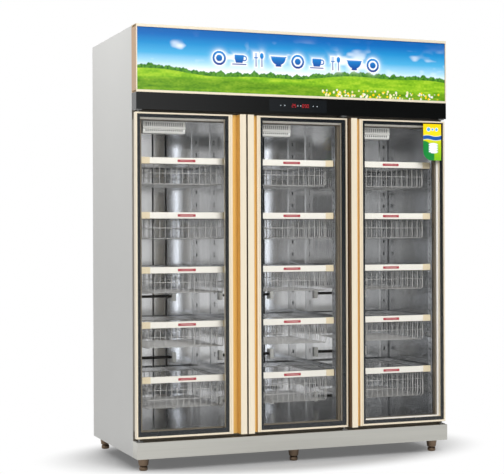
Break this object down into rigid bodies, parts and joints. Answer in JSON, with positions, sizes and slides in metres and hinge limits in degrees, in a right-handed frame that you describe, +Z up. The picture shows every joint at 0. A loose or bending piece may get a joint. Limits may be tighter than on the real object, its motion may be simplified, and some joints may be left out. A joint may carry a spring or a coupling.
{
  "type": "dish sterilizer cabinet",
  "caption": "Tall dish sterilizer cabinet with a row of hinged glass doors, pull-out wire baskets behind each, a lit header panel, a control fascia and levelling feet.",
  "frame": {"origin": "on the floor, under the middle of the whole cabinet, handles included", "axes": "+Z up, -Y towards the person in front of the doors, +X to that person's right"},
  "size_m": [1.53, 0.792, 1.96],
  "materials": {
    "grey_paint": "fine satin powder coat",
    "frame_steel": "satin paint",
    "stainless": "vertical brushed",
    "anodised_gold": "satin anodised champagne gold",
    "cream_bar": "satin anodised cream",
    "printed_panel": "printed acrylic, lit from behind",
    "black_gloss": "polished",
    "display": "polished tinted",
    "circuit_board": "solder mask",
    "door_glass": "polished toughened, printed black border",
    "gasket_rubber": "moulded",
    "white_plastic": "moulded",
    "lamp": "frosted",
    "bronze_foot": "satin",
    "fan_plastic": "moulded",
    "screw_steel": "plated",
    "gland_plastic": "moulded",
    "wire_chrome": "bright plated wire"
  },
  "bodies": {
    "cabinet": {"back_cover": "grey_paint", "base_frame": "frame_steel", "basket_guides": "stainless", "basket_posts": "stainless", "cable_gland": "gland_plastic", "chamber_back": "stainless", "chamber_liner": "stainless", "control_boards": "circuit_board", "cover_screws": "screw_steel", "display_lens": "display", "fan_housings": "fan_plastic", "fascia": "black_gloss", "foot_sleeves": "bronze_foot", "front_frame": "stainless", "header_frame": "anodised_gold", "header_picture": "printed_panel", "heater_tubes": "white_plastic", "hinge_brackets": "frame_steel", "lighting_tubes": "lamp", "ozone_generators": "white_plastic", "plinth": "grey_paint", "side_panel_left": "grey_paint", "side_panel_right": "grey_paint", "top_cover": "grey_paint"},
    "door_left": {"door_frame_left": "anodised_gold", "door_handle_left": "cream_bar", "door_glass_left": "door_glass", "door_gasket_left": "gasket_rubber"},
    "door_middle": {"door_frame_middle": "anodised_gold", "door_handle_middle": "cream_bar", "door_glass_middle": "door_glass", "door_gasket_middle": "gasket_rubber"},
    "door_right": {"door_frame_right": "anodised_gold", "door_handle_right": "cream_bar", "door_glass_right": "door_glass", "door_gasket_right": "gasket_rubber"},
    "drawer_left_1": {"basket_left_1": "wire_chrome"},
    "drawer_left_2": {"basket_left_2": "wire_chrome"},
    "drawer_left_3": {"basket_left_3": "wire_chrome"},
    "drawer_left_4": {"basket_left_4": "wire_chrome"},
    "drawer_left_5": {"basket_left_5": "wire_chrome"},
    "drawer_middle_1": {"basket_middle_1": "wire_chrome"},
    "drawer_middle_2": {"basket_middle_2": "wire_chrome"},
    "drawer_middle_3": {"basket_middle_3": "wire_chrome"},
    "drawer_middle_4": {"basket_middle_4": "wire_chrome"},
    "drawer_middle_5": {"basket_middle_5": "wire_chrome"},
    "drawer_right_1": {"basket_right_1": "wire_chrome"},
    "drawer_right_2": {"basket_right_2": "wire_chrome"},
    "drawer_right_3": {"basket_right_3": "wire_chrome"},
    "drawer_right_4": {"basket_right_4": "wire_chrome"},
    "drawer_right_5": {"basket_right_5": "wire_chrome"},
    "fan_left": {"fan_rotor_left": "fan_plastic"},
    "fan_middle": {"fan_rotor_middle": "fan_plastic"},
    "fan_right": {"fan_rotor_right": "fan_plastic"},
    "levelling_foot_front_left": {"foot_front_left": "bronze_foot"},
    "levelling_foot_front_middle": {"foot_front_middle": "bronze_foot"},
    "levelling_foot_front_right": {"foot_front_right": "bronze_foot"},
    "levelling_foot_rear_left": {"foot_rear_left": "bronze_foot"},
    "levelling_foot_rear_middle": {"foot_rear_middle": "bronze_foot"},
    "levelling_foot_rear_right": {"foot_rear_right": "bronze_foot"}
  },
  "joints": [
    {"name": "door_left_hinge", "type": "hinge", "parent": "cabinet", "child": "door_left", "pos_m": [-0.749, -0.352, 0.862], "axis": [0, 0, -1], "range_deg": [0, 110]},
    {"name": "door_middle_hinge", "type": "hinge", "parent": "cabinet", "child": "door_middle", "pos_m": [0.23733, -0.352, 0.862], "axis": [0, 0, 1], "range_deg": [0, 95]},
    {"name": "door_right_hinge", "type": "hinge", "parent": "cabinet", "child": "door_right", "pos_m": [0.749, -0.352, 0.862], "axis": [0, 0, 1], "range_deg": [0, 110]},
    {"name": "drawer_left_1_slide", "type": "slide", "parent": "cabinet", "child": "drawer_left_1", "axis": [0, -1, 0], "range_m": [0, 0.36]},
    {"name": "drawer_left_2_slide", "type": "slide", "parent": "cabinet", "child": "drawer_left_2", "axis": [0, -1, 0], "range_m": [0, 0.36]},
    {"name": "drawer_left_3_slide", "type": "slide", "parent": "cabinet", "child": "drawer_left_3", "axis": [0, -1, 0], "range_m": [0, 0.36]},
    {"name": "drawer_left_4_slide", "type": "slide", "parent": "cabinet", "child": "drawer_left_4", "axis": [0, -1, 0], "range_m": [0, 0.36]},
    {"name": "drawer_left_5_slide", "type": "slide", "parent": "cabinet", "child": "drawer_left_5", "axis": [0, -1, 0], "range_m": [0, 0.36]},
    {"name": "drawer_middle_1_slide", "type": "slide", "parent": "cabinet", "child": "drawer_middle_1", "axis": [0, -1, 0], "range_m": [0, 0.36]},
    {"name": "drawer_middle_2_slide", "type": "slide", "parent": "cabinet", "child": "drawer_middle_2", "axis": [0, -1, 0], "range_m": [0, 0.36]},
    {"name": "drawer_middle_3_slide", "type": "slide", "parent": "cabinet", "child": "drawer_middle_3", "axis": [0, -1, 0], "range_m": [0, 0.36]},
    {"name": "drawer_middle_4_slide", "type": "slide", "parent": "cabinet", "child": "drawer_middle_4", "axis": [0, -1, 0], "range_m": [0, 0.36]},
    {"name": "drawer_middle_5_slide", "type": "slide", "parent": "cabinet", "child": "drawer_middle_5", "axis": [0, -1, 0], "range_m": [0, 0.36]},
    {"name": "drawer_right_1_slide", "type": "slide", "parent": "cabinet", "child": "drawer_right_1", "axis": [0, -1, 0], "range_m": [0, 0.36]},
    {"name": "drawer_right_2_slide", "type": "slide", "parent": "cabinet", "child": "drawer_right_2", "axis": [0, -1, 0], "range_m": [0, 0.36]},
    {"name": "drawer_right_3_slide", "type": "slide", "parent": "cabinet", "child": "drawer_right_3", "axis": [0, -1, 0], "range_m": [0, 0.36]},
    {"name": "drawer_right_4_slide", "type": "slide", "parent": "cabinet", "child": "drawer_right_4", "axis": [0, -1, 0], "range_m": [0, 0.36]},
    {"name": "drawer_right_5_slide", "type": "slide", "parent": "cabinet", "child": "drawer_right_5", "axis": [0, -1, 0], "range_m": [0, 0.36]},
    {"name": "fan_left_spin", "type": "hinge", "parent": "cabinet", "child": "fan_left", "pos_m": [-0.61, 0.2971, 1.43], "axis": [0, 0, 1], "continuous": true},
    {"name": "fan_middle_spin", "type": "hinge", "parent": "cabinet", "child": "fan_middle", "pos_m": [-0.1, 0.2971, 1.43], "axis": [0, 0, 1], "continuous": true},
    {"name": "fan_right_spin", "type": "hinge", "parent": "cabinet", "child": "fan_right", "pos_m": [0.41, 0.2971, 1.43], "axis": [0, 0, 1], "continuous": true},
    {"name": "foot_front_left_screw", "type": "slide", "parent": "cabinet", "child": "levelling_foot_front_left", "axis": [0, 0, -1], "range_m": [0, 0.02]},
    {"name": "foot_front_middle_screw", "type": "slide", "parent": "cabinet", "child": "levelling_foot_front_middle", "axis": [0, 0, -1], "range_m": [0, 0.02]},
    {"name": "foot_front_right_screw", "type": "slide", "parent": "cabinet", "child": "levelling_foot_front_right", "axis": [0, 0, -1], "range_m": [0, 0.02]},
    {"name": "foot_rear_left_screw", "type": "slide", "parent": "cabinet", "child": "levelling_foot_rear_left", "axis": [0, 0, -1], "range_m": [0, 0.02]},
    {"name": "foot_rear_middle_screw", "type": "slide", "parent": "cabinet", "child": "levelling_foot_rear_middle", "axis": [0, 0, -1], "range_m": [0, 0.02]},
    {"name": "foot_rear_right_screw", "type": "slide", "parent": "cabinet", "child": "levelling_foot_rear_right", "axis": [0, 0, -1], "range_m": [0, 0.02]}
  ],
  "couplings": [
    {"joint": "drawer_left_1_slide", "follows": "door_left_hinge", "m_per_rad": 0.095},
    {"joint": "drawer_left_2_slide", "follows": "door_left_hinge", "m_per_rad": 0.095},
    {"joint": "drawer_left_3_slide", "follows": "door_left_hinge", "m_per_rad": 0.095},
    {"joint": "drawer_left_4_slide", "follows": "door_left_hinge", "m_per_rad": 0.095},
    {"joint": "drawer_left_5_slide", "follows": "door_left_hinge", "m_per_rad": 0.095},
    {"joint": "drawer_middle_1_slide", "follows": "door_middle_hinge", "m_per_rad": 0.095},
    {"joint": "drawer_middle_2_slide", "follows": "door_middle_hinge", "m_per_rad": 0.095},
    {"joint": "drawer_middle_3_slide", "follows": "door_middle_hinge", "m_per_rad": 0.095},
    {"joint": "drawer_middle_4_slide", "follows": "door_middle_hinge", "m_per_rad": 0.095},
    {"joint": "drawer_middle_5_slide", "follows": "door_middle_hinge", "m_per_rad": 0.095},
    {"joint": "drawer_right_1_slide", "follows": "door_right_hinge", "m_per_rad": 0.095},
    {"joint": "drawer_right_2_slide", "follows": "door_right_hinge", "m_per_rad": 0.095},
    {"joint": "drawer_right_3_slide", "follows": "door_right_hinge", "m_per_rad": 0.095},
    {"joint": "drawer_right_4_slide", "follows": "door_right_hinge", "m_per_rad": 0.095},
    {"joint": "drawer_right_5_slide", "follows": "door_right_hinge", "m_per_rad": 0.095}
  ]
}
